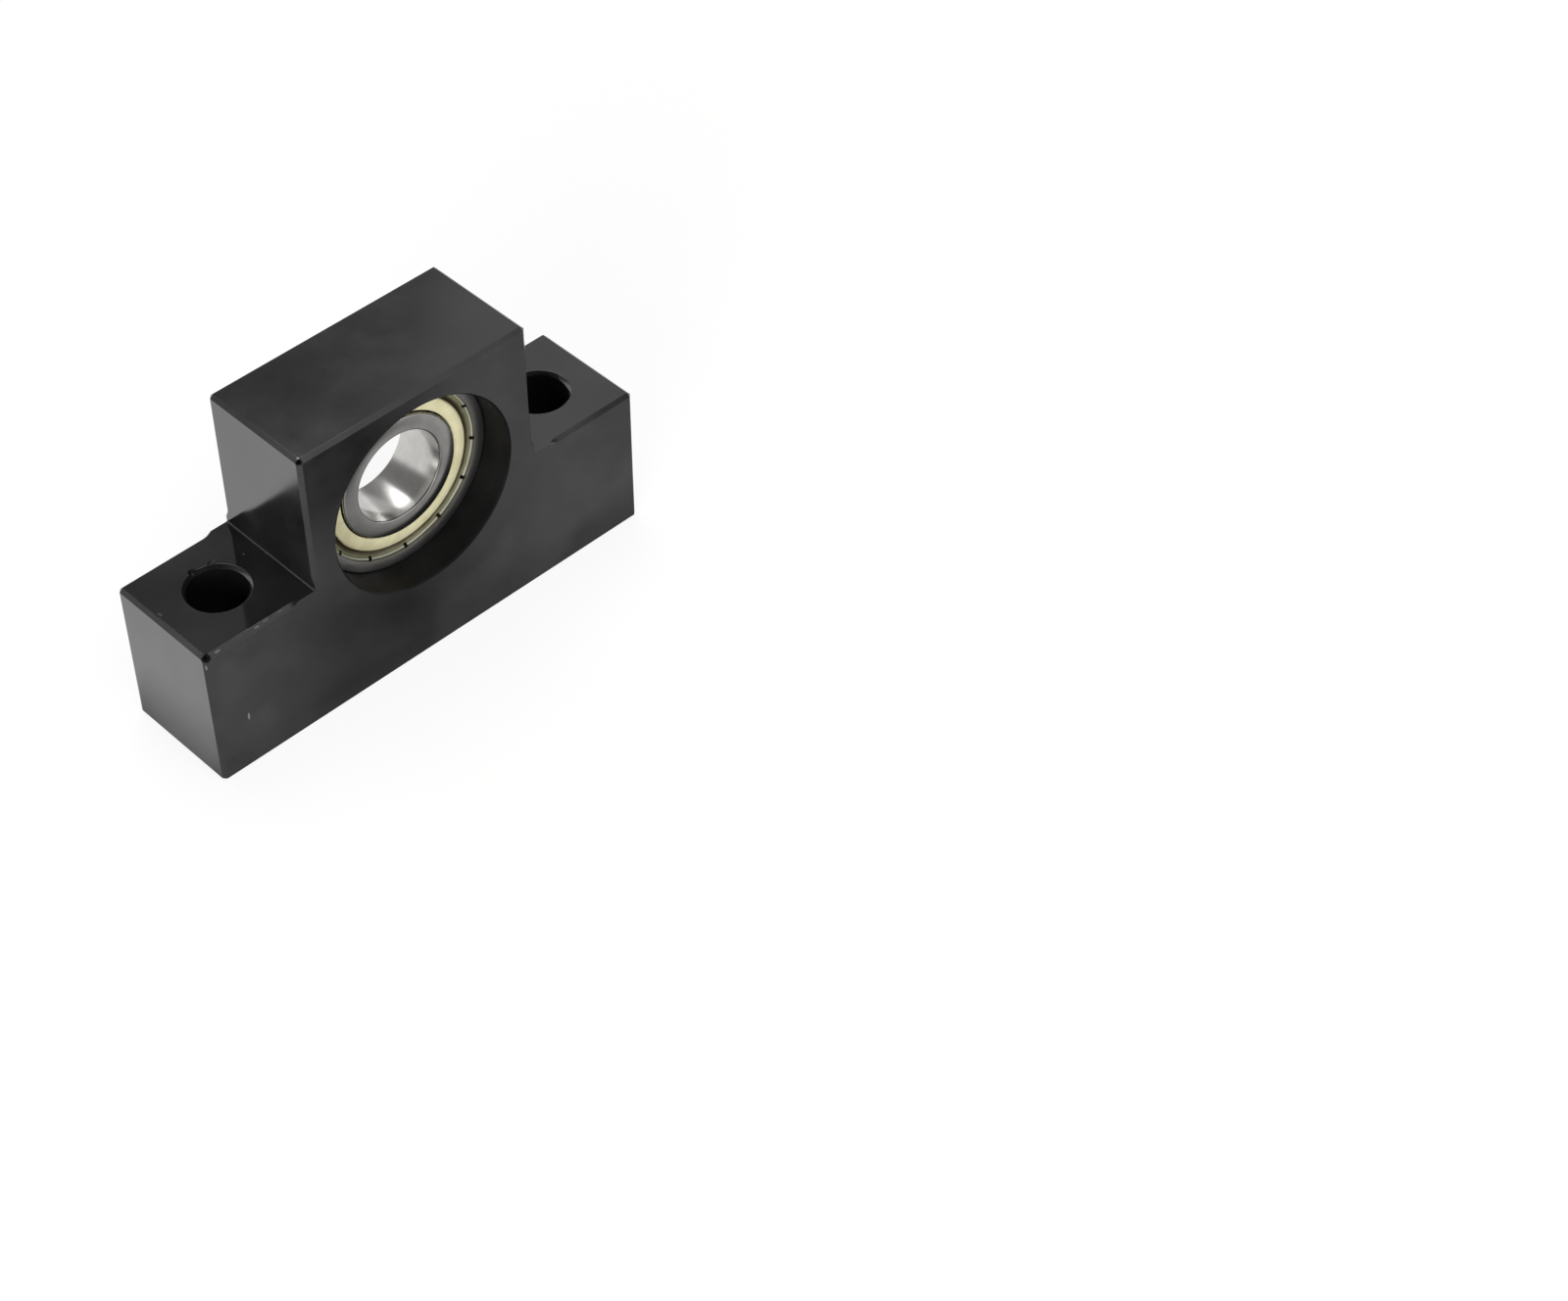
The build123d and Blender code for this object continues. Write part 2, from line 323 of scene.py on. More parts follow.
def add(tree, kind, inputs=None, **options):
    """Add a node, set its options, and fill or link its inputs."""
    node = tree.nodes.new("ShaderNode" + kind)
    for key, value in options.items():
        setattr(node, key, value)
    for key, value in (inputs or {}).items():
        if isinstance(value, bpy.types.NodeSocket):
            tree.links.new(value, node.inputs[key])
        else:
            node.inputs[key].default_value = value
    return node


def feed(tree, shader, colour, roughness, normal):
    """Link what varies over the surface to the shader."""
    tree.links.new(colour, shader.inputs["Base Color"])
    tree.links.new(roughness, shader.inputs["Roughness"])
    tree.links.new(normal, shader.inputs["Normal"])


def where(tree):
    """Place on the piece."""
    return add(tree, "TexCoord").outputs["Object"]


def split(tree, place):
    """The three parts of a place."""
    return tuple(add(tree, "SeparateXYZ", {0: place}).outputs)


def reach(tree, place):
    """How far a place is from the origin."""
    return add(tree, "VectorMath", {0: place}, operation="LENGTH").outputs["Value"]


def stretched(tree, place, scale, shift=(0, 0, 0)):
    """A place, shifted and then scaled by a different amount along each axis."""
    shifted = add(tree, "VectorMath", {0: place, 1: shift}, operation="SUBTRACT").outputs[0]
    return add(tree, "VectorMath", {0: shifted, 1: scale}, operation="MULTIPLY").outputs[0]


def math_node(tree, operation, *values):
    """A sum of one kind."""
    return add(tree, "Math", dict(enumerate(values)), operation=operation).outputs[0]


def plus(tree, first, second):
    """One value added to another."""
    return math_node(tree, "ADD", first, second)


def less(tree, first, second):
    """One value less another."""
    return math_node(tree, "SUBTRACT", first, second)


def times(tree, first, second):
    """One value times another."""
    return math_node(tree, "MULTIPLY", first, second)


def larger(tree, first, second):
    """The larger of two values."""
    return math_node(tree, "MAXIMUM", first, second)


def unsigned(tree, value):
    """A value without its sign."""
    return math_node(tree, "ABSOLUTE", value)


def above(tree, value, limit):
    """1 where a value is above a limit, else 0."""
    return math_node(tree, "GREATER_THAN", value, limit)


def below(tree, value, limit):
    """1 where a value is below a limit, else 0."""
    return math_node(tree, "LESS_THAN", value, limit)


def remap(tree, value, low, high, to_low=0, to_high=1):
    """Spread a value over another range, held at both ends."""
    made = add(tree, "MapRange", {"Value": value, "From Min": low, "From Max": high,
                                  "To Min": to_low, "To Max": to_high})
    return made.outputs[0]


def noise(tree, place, scale, detail=3.0, roughness=0.55):
    """Cloudy values about a half."""
    made = add(tree, "TexNoise", {"Vector": place, "Scale": scale, "Detail": detail,
                                  "Roughness": roughness})
    return made.outputs[0]


def mixed(tree, amount, first, second, blend="MIX"):
    """Mix two colours."""
    made = add(tree, "Mix", data_type="RGBA", blend_type=blend)
    for number, value in ((0, amount), (6, first), (7, second)):
        socket = made.inputs[number]
        if isinstance(value, bpy.types.NodeSocket):
            tree.links.new(value, socket)
        elif isinstance(value, (int, float)):
            socket.default_value = value
        else:
            socket.default_value = (*value, 1)
    return made.outputs[2]


def mottled(tree, cloud, first, second):
    """Two colours in soft patches."""
    return mixed(tree, remap(tree, cloud, 0.35, 0.65), first, second)


def wandering(tree, pattern, low, high):
    """A value that wanders between two ends with a pattern."""
    return remap(tree, pattern, 0.3, 0.7, low, high)


def toned(colour, strength):
    """A darker or paler tone of a colour."""
    return tuple(strength * part for part in colour)


def woven(tree, first, share_of_first, second):
    """Two patterns in one."""
    return plus(tree, times(tree, first, share_of_first), times(tree, second, 1 - share_of_first))


def raised(tree, height, distance, under=None):
    """Bump by a height between 0 and 1 times a distance."""
    inputs = {"Height": height, "Distance": distance, "Strength": 1.0}
    if under:
        inputs["Normal"] = under
    return add(tree, "Bump", inputs).outputs[0]


def about_axis(tree, place, scale):
    """Radius and place along the bearing's axis, scaled, so that a pattern runs in circles."""
    x, along, z = split(tree, stretched(tree, place, (1, 1, 1), AXIS))
    radius = reach(tree, add(tree, "CombineXYZ", {0: x, 1: z}).outputs[0])
    return add(tree, "CombineXYZ", {
        0: times(tree, radius, scale), 1: times(tree, along, scale)}).outputs[0]


def tool_rings(tree, place, per_metre, detail=2, roughness=0.55):
    """Fine rings round the bearing's axis, as turning leaves them."""
    return noise(tree, about_axis(tree, place, per_metre), 1, detail, roughness)


# Finishes

# Patterns: lumps per metre, levels of detail, and the strength of the finer levels
OXIDE_CLOUD = (75, 3)
OXIDE_SMUDGE = (62, 4, 0.6)
OXIDE_GRAIN = (900, 4, 0.6)
RAGGED = (1600, 2)
BORED_CLOUD = (240, 3)
STEEL_CLOUD = (260, 4)
PLATING_CLOUD = (420, 4)
GREASE_SHADE_CLOUD = (2400, 3)
PRESSED_CLOUD = (500, 4)
PRESSED_GRAIN = (5200, 2)
FLOOR_CLOUD = (6, 3)
GRINDING = (120, 4200, 4200)  # lines per metre along the block and across it
BORING_LINES = 3400  # tool rings per metre
RING_LINES = 5200
PLATING_LINES = 2600

# Heights of the bumps, in metres
OXIDE_CLOUD_HEIGHT = 2.5e-6
OXIDE_GRAIN_HEIGHT = 4e-7
GRINDING_HEIGHT = 5e-7
BORING_HEIGHT = 1.5e-6
RING_HEIGHT = 5e-7
PLATING_HEIGHT = 1.5e-7
GREASE_HEIGHT = 1e-5
PRESSED_HEIGHT = 6e-7

OXIDE_IOR = 1.8
BORED_IOR = 1.3
CORNER_SHADE_COLOUR = (0.002, 0.002, 0.002)
PLATING_METAL = 0.45
OUTER_RING_ROUGHNESS = 0.4
INNER_RING_ROUGHNESS = 0.2
BALL_ROUGHNESS = 0.08
CAGE_COLOUR = (0.50, 0.48, 0.45)
CAGE_ROUGHNESS = 0.34
MARK_FADE = (1.15, 1.5)  # where a mark starts to fade and where it ends, in parts of its reach

# Marks: the middle of each, its reach along each axis, both in millimetres, and its strength
RUBBED = (
    ((-34.4, -10.0, 9.75), (0.18, 0.4, 0.8), 0.85),
    ((-37.5, -9.7, 24.7), (0.6, 0.22, 0.22), 0.18),
    ((-39.75, -9.75, 23.0), (0.22, 0.22, 0.6), 0.25),
    ((-30.7, -9.7, 24.7), (0.5, 0.16, 0.16), 0.16),
    ((-29.0, -9.6, 24.8), (0.7, 0.14, 0.14), 0.1),
    ((-26.5, -9.6, 24.8), (0.6, 0.14, 0.14), 0.08),
    ((-23.1, 2.9, 25.0), (0.22, 0.22, 0.2), 0.12),
    ((-38.9, 1.4, 25.0), (0.3, 0.5, 0.2), 0.08),
    ((-20.0, -9.2, 49.0), (0.35, 0.3, 0.2), 0.55),
)
# Near-black spots on the front top corners of the left ear and the tower: painted shade, no dent
# is cut there
CORNER_SHADE_SPOTS = (
    ((-39.6, -9.7, 24.7), (0.9, 0.85, 0.8), 1.0),
    ((-20.3, -9.8, 48.8), (0.75, 0.75, 0.75), 1.0),
)
# Chips out of the left bolt hole's rim: the middle of each and its reach, in millimetres
CHIPS = (
    ((-30.5, 5.0, 25.15), (0.7, 0.75, 0.75)),
    ((-27.3, 4.65, 25.25), (1.15, 0.75, 0.4)),
)


def marked(tree, place, marks):
    """How strongly a spot belongs to one of the ragged little marks."""
    ragged = noise(tree, place, *RAGGED)
    total = 0.0
    for middle, size, strength in marks:
        scale = [1 / (part * MM) for part in size]
        away = reach(tree, stretched(tree, place, scale, [part * MM for part in middle]))
        inside = remap(tree, plus(tree, away, ragged), *MARK_FADE, strength, 0)
        total = larger(tree, total, inside)
    return total


def inner_corner(tree, place):
    """1 in the corners between the tower and the ears, where the finish stays dull, else 0."""
    x, _, z = split(tree, place)
    across = less(tree, unsigned(tree, x), TOWER_HALF)
    up = less(tree, z, EAR_TOP)
    away = reach(tree, add(tree, "CombineXYZ", {0: across, 1: up}).outputs[0])
    return remap(tree, away, 0.15 * MM, 0.21 * MM, 1, 0)


def block_tops(tree, place):
    """1 on the ears' tops, and 1 on those and the tower's top, else 0."""
    x, _, z = split(tree, place)
    beside = above(tree, unsigned(tree, x), TOWER_HALF + 0.1 * MM)
    on_ear = times(tree, beside, math_node(tree, "COMPARE", z, EAR_TOP, 0.02 * MM))
    return on_ear, larger(tree, on_ear, above(tree, z, TOWER_TOP - 0.02 * MM))


def ground_oxide(look):
    """Ground steel with a black oxide finish: cloudy gloss, fine grinding lines, rubbed marks and
    painted shade on two corners.
    """
    material, tree, shader = new_material("ground_oxide")
    place = where(tree)
    cloud = noise(tree, place, *OXIDE_CLOUD)
    smudge = noise(tree, place, *OXIDE_SMUDGE)
    grain = noise(tree, place, *OXIDE_GRAIN)
    ground = noise(tree, stretched(tree, place, GRINDING), 1, 2)
    rubbed = marked(tree, place, RUBBED)
    corner_shade = marked(tree, place, CORNER_SHADE_SPOTS)
    on_ear, on_top = block_tops(tree, place)
    # The film of dust and oil is thin on the tops
    film = times(tree, remap(tree, smudge, 0.5, 0.66), remap(tree, on_top, 0, 1, 1, 0.15))
    colour = mottled(tree, cloud, toned(look.oxide, 0.4), toned(look.oxide, 1.6))
    # The corner spots are painted shade; the film and the rubbed marks are dust, oil and wear
    for amount, over in ((film, look.film), (corner_shade, CORNER_SHADE_COLOUR), (rubbed, look.bare)):
        colour = mixed(tree, amount, colour, over)
    # The ears' tops are smoother than the rest, the smudges, inner corners and bare spots duller
    rough = remap(tree, plus(tree, cloud, times(tree, grain, 0.35)), 0.5, 0.85,
                  look.gloss - look.cloudiness, look.gloss + look.cloudiness)
    rough = plus(tree, rough, remap(tree, smudge, 0.4, 0.7, 0, 0.05))
    rough = times(tree, rough, remap(tree, on_ear, 0, 1, 1, 0.5))
    rough = plus(tree, rough, times(tree, inner_corner(tree, place), 0.4))
    rough = plus(tree, rough, times(tree, rubbed, 0.15))
    bump = raised(tree, cloud, OXIDE_CLOUD_HEIGHT)
    bump = raised(tree, ground, GRINDING_HEIGHT, bump)
    bump = raised(tree, grain, OXIDE_GRAIN_HEIGHT, bump)
    feed(tree, shader, colour, rough, bump)
    # The painted corner shade is made metallic too, so that its near-black colour shows no gloss
    metal = larger(tree, rubbed, times(tree, corner_shade, 0.85))
    tree.links.new(metal, shader.inputs["Metallic"])
    shader.inputs["IOR"].default_value = OXIDE_IOR
    return material


def shaded_bored_oxide(look):
    """The same finish on the bored walls, duller, painted darker as shade in the bore and holes,
    and with the boring tool's fine rings.
    """
    material, tree, shader = new_material("shaded_bored_oxide")
    place = where(tree)
    rings = tool_rings(tree, place, BORING_LINES)
    tint = woven(tree, noise(tree, place, *BORED_CLOUD), 0.6, rings)
    feed(tree, shader,
         mottled(tree, tint, toned(look.shaded_bored_oxide, 0.6), toned(look.shaded_bored_oxide, 1.5)),
         wandering(tree, tint, 1.2 * look.bored, 0.8 * look.bored),
         raised(tree, rings, BORING_HEIGHT))
    shader.inputs["IOR"].default_value = BORED_IOR
    return material


def ring_steel(name, bearing, rough):
    """Ground steel with fine lines round its axis, and grease where the shields sit, painted near
    black as the shade under the lips.
    """
    material, tree, shader = new_material(name)
    place = where(tree)
    rings = tool_rings(tree, place, RING_LINES, 3, 0.6)
    tint = woven(tree, noise(tree, place, *STEEL_CLOUD), 0.7, rings)
    radius = split(tree, about_axis(tree, place, 1))[0]
    # The seat under each lip is painted near black: grease and painted shade
    seat = times(tree, above(tree, radius, bearing.outer_shoulder - 0.02 * MM),
                 below(tree, radius, bearing.seat + 0.02 * MM))
    along = unsigned(tree, split(tree, place)[1])
    seat = times(tree, seat, below(tree, along, bearing.seat_top + 0.01 * MM))
    steel = mottled(tree, tint, toned(bearing.steel, 0.82), tuple(bearing.steel))
    wander = wandering(tree, tint, 1.25 * rough, 0.75 * rough)
    feed(tree, shader, mixed(tree, seat, steel, bearing.grease_shade),
         larger(tree, wander, times(tree, seat, 0.6)), raised(tree, rings, RING_HEIGHT))
    tree.links.new(less(tree, 1.0, seat), shader.inputs["Metallic"])
    return material


def plated_sheet(shield):
    """Yellowish plating, bright on the plate, with painted light and shade by radius: shade in the
    valley, on the flange and under the lip, and a highlight along the bead.
    """
    material, tree, shader = new_material("plated_sheet")
    place = where(tree)
    cloud = noise(tree, place, *PLATING_CLOUD)
    rings = tool_rings(tree, place, PLATING_LINES)
    radius = split(tree, about_axis(tree, place, 1 / MM))[0]
    uneven = plus(tree, radius, wandering(tree, cloud, -0.06, 0.06))
    plate, flange, bead = shield.plate / MM, shield.flange / MM, shield.bead_centre / MM
    rim = (shield.bead_centre - shield.bead) / MM
    colour = shield.sheet
    # Outwards from the plate: where each zone's colour starts and is full, in millimetres
    # Each zone paints light or shade: shade in the valley and on the flange, a highlight on the
    # rim, shade at its foot
    for spread, start, full, zone in (
            (uneven, plate - 0.04, plate + 0.14, shield.valley_shade),
            (uneven, flange - 0.08, flange + 0.3, shield.flange_shade),
            (radius, rim, bead - 0.1, shield.rim),
            (radius, bead - 0.16, bead + 0.02, shield.rim_foot_shade)):
        colour = mixed(tree, remap(tree, spread, start, full), colour, zone)
    faint = mottled(tree, cloud, (0.88, 0.86, 0.82), (1, 1, 1))
    feed(tree, shader, mixed(tree, 1.0, colour, faint, "MULTIPLY"),
         wandering(tree, rings, 0.34, 0.28), raised(tree, rings, PLATING_HEIGHT))
    shader.inputs["Metallic"].default_value = PLATING_METAL
    return material


def notch_grease_shade(bearing):
    """Dark grease and dirt on the notches' sheared edges, painted near black as the shade inside
    the notches.
    """
    material, tree, shader = new_material("notch_grease_shade")
    cloud = noise(tree, where(tree), *GREASE_SHADE_CLOUD)
    feed(tree, shader, mixed(tree, cloud, toned(bearing.grease_shade, 0.5), tuple(bearing.grease_shade)),
         wandering(tree, cloud, 0.7, 0.5), raised(tree, cloud, GREASE_HEIGHT))
    return material


def fine_steel(name, colour, rough):
    """Plain steel with a fine grain, lapped on the balls and pressed on the cage."""
    material, tree, shader = new_material(name)
    place = where(tree)
    cloud = noise(tree, place, *PRESSED_CLOUD)
    grain = noise(tree, place, *PRESSED_GRAIN)
    feed(tree, shader, mottled(tree, cloud, toned(colour, 0.8), colour),
         wandering(tree, cloud, 1.2 * rough, 0.85 * rough),
         raised(tree, grain, PRESSED_HEIGHT))
    shader.inputs["Metallic"].default_value = 1.0
    return material


# Block

FILLET = 0.45 * MM  # holds the whole fillet at the tower's foot
BORE_RIM = 0.3 * MM  # the bore's chamfer and a little more
BOLT_RIM = 1.6 * MM  # the bolt holes' chamfer and chips


def in_a_hole(face):
    """True for the walls and rims of the bearing's bore and of the bolt holes."""
    middle = face.calc_center_median()
    from_axis = math.hypot(middle.x, middle.z - AXIS.z)
    in_bore = from_axis < OUTER_RADIUS + BORE_RIM and abs(face.normal.y) < 0.99
    beside = middle.x - math.copysign(BOLT_X, middle.x)
    level = 0.1 * MM < middle.z < EAR_TOP - 0.01 * MM
    in_bolt = math.hypot(beside, middle.y) < BOLT_RADIUS + BOLT_RIM and level
    # The right side of each bolt hole's rim is as glossy as the ears' tops
    clean_rim = beside > 2 * MM and middle.y < 3.4 * MM and abs(face.normal.z) > 0.5
    return in_bore or in_bolt and not clean_rim


def is_flat(face):
    """True for flat faces and straight chamfers, false for round walls, rims and runouts."""
    parts = sorted(abs(part) for part in face.normal)
    square = parts[2] > 0.99999
    chamfer = parts[0] < 0.001 and abs(parts[1] - parts[2]) < 0.001
    return (square or chamfer) and not in_a_hole(face)


def chip_cutter():
    """Small lumps that cut the chips out of the left bolt hole's rim."""
    bm = bmesh.new()
    for middle, size in CHIPS:
        made = bmesh.ops.create_icosphere(bm, subdivisions=2, radius=MM)["verts"]
        bmesh.ops.scale(bm, verts=made, vec=size)
        bmesh.ops.translate(bm, verts=made, vec=[part * MM for part in middle])
    return as_mesh(bm, "chip_cutter")


def block_mesh(look):
    """The block's own shape with its flat faces whole again and a small rounding on its edges."""
    bm = bmesh.new()
    bm.from_mesh(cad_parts["housing"].data)
    bmesh.ops.remove_doubles(bm, verts=bm.verts, dist=CAD_CLOSE)
    bmesh.ops.dissolve_limit(bm, angle_limit=COPLANAR, verts=bm.verts, edges=bm.edges)
    # The fillets at the tower's foot are drawn in to half their size
    for side in (-TOWER_HALF, TOWER_HALF):
        corner = Vector((side, 0, EAR_TOP))
        near = [v for v in bm.verts
                if math.hypot(v.co.x - corner.x, v.co.z - corner.z) < FILLET]
        bmesh.ops.scale(bm, verts=near, vec=(0.5, 1, 0.5), space=Matrix.Translation(-corner))
    round_edges(bm, look.edge_radius, 2)
    bm = cut_from(as_mesh(bm, "housing_block"), chip_cutter())
    bm.normal_update()
    for face in bm.faces:
        # The holes' walls and rims, the chips among them, take the finish painted darker as shade
        face.material_index = 1 if in_a_hole(face) else 0
    return finished_mesh(bm, "housing_block", {face for face in bm.faces if is_flat(face)})


class ENDSUPPORT_OT_block(Operator):
    """Make the blackened steel block"""
    bl_idname = "end_support.block"
    bl_label = "Block"

    def execute(self, context):
        look = context.scene.end_support.block
        finishes = (ground_oxide(look), shaded_bored_oxide(look))
        place_piece(
            "housing_block", block_mesh(look), finishes, "housing", "blackened_steel", "housing")
        return {"FINISHED"}


# Bearing

RACEWAY_STEPS = 10
SEAT_EDGE = 0.04 * MM  # rounding on the outer ring's inner edges


def groove_edge(bearing, shoulder, bottom):
    """Half the width of a raceway where it meets its shoulders."""
    return math.sqrt(bearing.groove ** 2 - (bearing.groove - abs(bottom - shoulder)) ** 2)


def outer_ring_mesh(bearing):
    """Ring with its raceway and a seat for each shield."""
    bottom = bearing.pitch + bearing.ball + bearing.clearance
    edge = groove_edge(bearing, bearing.outer_shoulder, bottom)
    centre = bottom - bearing.groove
    sweep = math.atan2(edge, bearing.outer_shoulder - centre)
    bm = bmesh.new()
    draw_section(bm, (OUTER_RADIUS, 0), [
        (OUTER_RADIUS, HALF_WIDTH), (bearing.lip, HALF_WIDTH), (bearing.lip, bearing.seat_top),
        (bearing.seat, bearing.seat_top), (bearing.seat, bearing.seat_floor),
        (bearing.outer_shoulder, bearing.seat_floor), (bearing.outer_shoulder, edge),
        (centre, 0, -sweep, RACEWAY_STEPS),
    ])
    mirror_section(bm)
    turn_section(bm, bearing.steps)
    rim = OUTER_RADIUS - bearing.corner / 2
    round_edges(bm, bearing.corner, 4, lambda e: edge_radius(e) > rim)
    round_edges(bm, SEAT_EDGE, 2, lambda e: edge_radius(e) < rim)
    return finished_mesh(bm, "outer_ring_turned")


def inner_ring_mesh(bearing):
    """Ring with its bore and raceway."""
    bottom = bearing.pitch - bearing.ball - bearing.clearance
    edge = groove_edge(bearing, bearing.inner_shoulder, bottom)
    centre = bottom + bearing.groove
    sweep = math.atan2(edge, centre - bearing.inner_shoulder)
    bm = bmesh.new()
    draw_section(bm, (BORE_RADIUS, 0), [
        (BORE_RADIUS, HALF_WIDTH), (bearing.inner_shoulder, HALF_WIDTH),
        (bearing.inner_shoulder, edge), (centre, 0, sweep, RACEWAY_STEPS),
    ])
    mirror_section(bm)
    turn_section(bm, bearing.steps)
    middle = (BORE_RADIUS + bearing.inner_shoulder) / 2
    side = HALF_WIDTH - CAD_CLOSE
    round_edges(bm, bearing.corner, 4, lambda e: edge_radius(e) < middle)
    round_edges(bm, bearing.shoulder_corner, 3,
                lambda e: edge_radius(e) > middle and abs(e.verts[0].co.y) > side)
    return finished_mesh(bm, "inner_ring_turned")


class ENDSUPPORT_OT_rings(Operator):
    """Make the outer and the inner ring of the bearing"""
    bl_idname = "end_support.rings"
    bl_label = "Bearing rings"

    def execute(self, context):
        bearing = context.scene.end_support.bearing
        dull = ring_steel("outer_ring_steel", bearing, OUTER_RING_ROUGHNESS)
        bright = ring_steel("inner_ring_steel", bearing, INNER_RING_ROUGHNESS)
        place_piece("outer_ring_turned", outer_ring_mesh(bearing), (dull,),
                    "housing", "bearing_steel", "outer_ring")
        place_piece("inner_ring_turned", inner_ring_mesh(bearing), (bright,),
                    "inner_ring", "bearing_steel", "inner_ring")
        return {"FINISHED"}


class ENDSUPPORT_OT_balls(Operator):
    """Make the balls"""
    bl_idname = "end_support.balls"
    bl_label = "Balls"

    def execute(self, context):
        bearing = context.scene.end_support.bearing
        steel = fine_steel("lapped_ball_steel", tuple(bearing.steel), BALL_ROUGHNESS)
        for number in range(1, bearing.balls + 1):
            node = f"ball_{number}"
            low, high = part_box(node)
            bm = bmesh.new()
            bmesh.ops.create_icosphere(
                bm, subdivisions=4, radius=bearing.ball,
                matrix=Matrix.Translation((low + high) / 2))
            place_piece(
                f"{node}_ground", finished_mesh(bm, node), (steel,), node, "bearing_steel", node)
        return {"FINISHED"}


class ENDSUPPORT_OT_cage(Operator):
    """Finish the cage and its rivets"""
    bl_idname = "end_support.cage"
    bl_label = "Cage"

    def execute(self, context):
        sheet = fine_steel("ribbon_steel", CAGE_COLOUR, CAGE_ROUGHNESS)
        for name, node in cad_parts.items():
            if name.startswith("cage"):
                node.material_slots[0].material = sheet
        return {"FINISHED"}


# Shields

BEAD_STEPS = 18
NOTCH_ZONE = 2.6 * MM  # how far in from the outside of the bearing a notch's walls can lie


def shield_mesh(shield, steps):
    """Pressed shield for the back of the bearing, before its notches are cut."""
    sheet, bead = shield.thickness, shield.bead
    bead_height = shield.flange_height + bead - sheet
    meet = math.asin((shield.flange_height - bead_height) / bead)
    bead_start = shield.bead_centre - bead * math.cos(meet)
    face = [
        (shield.plate, shield.plate_height), (shield.valley_in, shield.valley_height),
        (shield.valley_out, shield.valley_height), (shield.flange, shield.flange_height),
    ]
    back = [(radius, height - sheet) for radius, height in reversed(face)]
    bm = bmesh.new()
    draw_section(bm, (shield.inner, shield.plate_height), [
        *face, (bead_start, shield.flange_height),
        (shield.bead_centre, bead_height, -(math.radians(270) - meet), BEAD_STEPS),
        *back, (shield.inner, shield.plate_height - sheet), (shield.inner, shield.plate_height),
    ])
    turn_section(bm, steps)
    round_edges(bm, shield.plate_bend, 5,
                lambda e: abs(edge_radius(e) - shield.plate) < 0.1 * MM)
    round_edges(bm, shield.bend, 3, lambda e: edge_radius(e) < shield.flange + shield.bend)
    return as_mesh(bm, "shield_blank")


def notch_cutter(shield):
    """Small blocks that cut the crimping notches out of a shield's rim."""
    bm = bmesh.new()
    rim = shield.bead_centre + shield.bead
    height = shield.flange_height + shield.bead - shield.thickness
    size = (2 * shield.notch_depth, 4 * shield.bead, shield.notch_width)
    for number in range(shield.notches):
        made = bmesh.ops.create_cube(bm, size=1)["verts"]
        bmesh.ops.scale(bm, verts=made, vec=size)
        bmesh.ops.translate(bm, verts=made, vec=(rim, height, 0))
        angle = shield.notch_start + number * FULL_TURN / shield.notches
        bmesh.ops.rotate(
            bm, verts=made, cent=(0, 0, 0), matrix=Matrix.Rotation(-angle, 3, "Y"))
        bmesh.ops.translate(bm, verts=made, vec=AXIS)
    return as_mesh(bm, "notch_cutter")


def is_sheared(face):
    """True for the cut walls of the notches."""
    outward = face.calc_center_median() - AXIS
    outward.y = 0
    round_about = outward.cross(Vector(ACROSS)).normalized()
    far = outward.length > OUTER_RADIUS - NOTCH_ZONE
    side = abs(face.normal.dot(round_about)) > 0.7
    end = face.normal.dot(outward.normalized()) > 0.9
    return far and (side or end)


def mirrored(mesh):
    """The same piece turned to the other side of the bearing."""
    bm = bmesh.new()
    bm.from_mesh(mesh)
    bmesh.ops.scale(bm, verts=bm.verts, vec=(1, -1, 1))
    bmesh.ops.reverse_faces(bm, faces=bm.faces)
    return finished_mesh(bm, "shield_front_pressed")


class ENDSUPPORT_OT_shields(Operator):
    """Make the two pressed shields"""
    bl_idname = "end_support.shields"
    bl_label = "Shields"

    def execute(self, context):
        settings = context.scene.end_support
        shield = settings.shield
        cut = cut_from(shield_mesh(shield, settings.bearing.steps), notch_cutter(shield))
        cut.normal_update()
        # The notches' cut walls take the near-black finish, painted shade inside the notches
        for face in cut.faces:
            face.material_index = 1 if is_sheared(face) else 0
        back = finished_mesh(cut, "shield_back_pressed")
        front = mirrored(back)
        finishes = (plated_sheet(shield), notch_grease_shade(settings.bearing))
        place_piece("shield_back_pressed", back, finishes,
                    "housing", "shield_steel", "shield_back")
        place_piece("shield_front_pressed", front, finishes,
                    "housing", "shield_steel", "shield_front")
        return {"FINISHED"}


# Studio

FLOOR_HALF = 6
FLOOR_DROP = 0.02 * MM  # keeps the floor clear of the block's base
SENSOR = 36

# Soft lamps: name, place, size, brightness, and whether a gloss mirrors them
LAMPS = (
    ("key", (0.14, 0.39, 1.02), 0.6, 4.2, True),
    ("right_back", (0.80, 0.40, 0.68), 0.8, 0.38, True),
    ("front", (-0.06, -0.66, 0.94), 0.6, 4.0, False),
    ("left", (-0.92, -0.57, 0.41), 0.5, 15, False),
)
LAMP_AIM = (0, 0, 0.02)

# What the floor shows in reflections: where it dims ahead of the block, and round its foot
AHEAD = (-13 * MM, -4 * MM)
FOOT_REACH = 7 * MM
FOOT_LEVEL = 0.42
MIRRORED_DROP = 0.2  # share of the glow that a fully bright spot gives up to the plain floor
# Shaded patches of it: middle and reach in millimetres, and where in that reach the shade is full
TOWER_PATCH = ((12, -58), (30, 26), 0.35)
FOOT_PATCH = ((0, -20), (26, 16), 0.1)
# How white the camera sees the floor, near the block and far from it
WHITENING = (0.12, 0.8, 0.84, 1)

# Where the room's brightness changes, in parts of a direction of length 1
LEFT_FADE = (-0.1, 0.25)
RIGHT_FADE = (-0.115, -0.07)
BACK_FADE = (-0.35, 0.25)
CEILING_FADE = (0.22, 0.44)
BACKDROP_FADE = (0.3, 0.4)


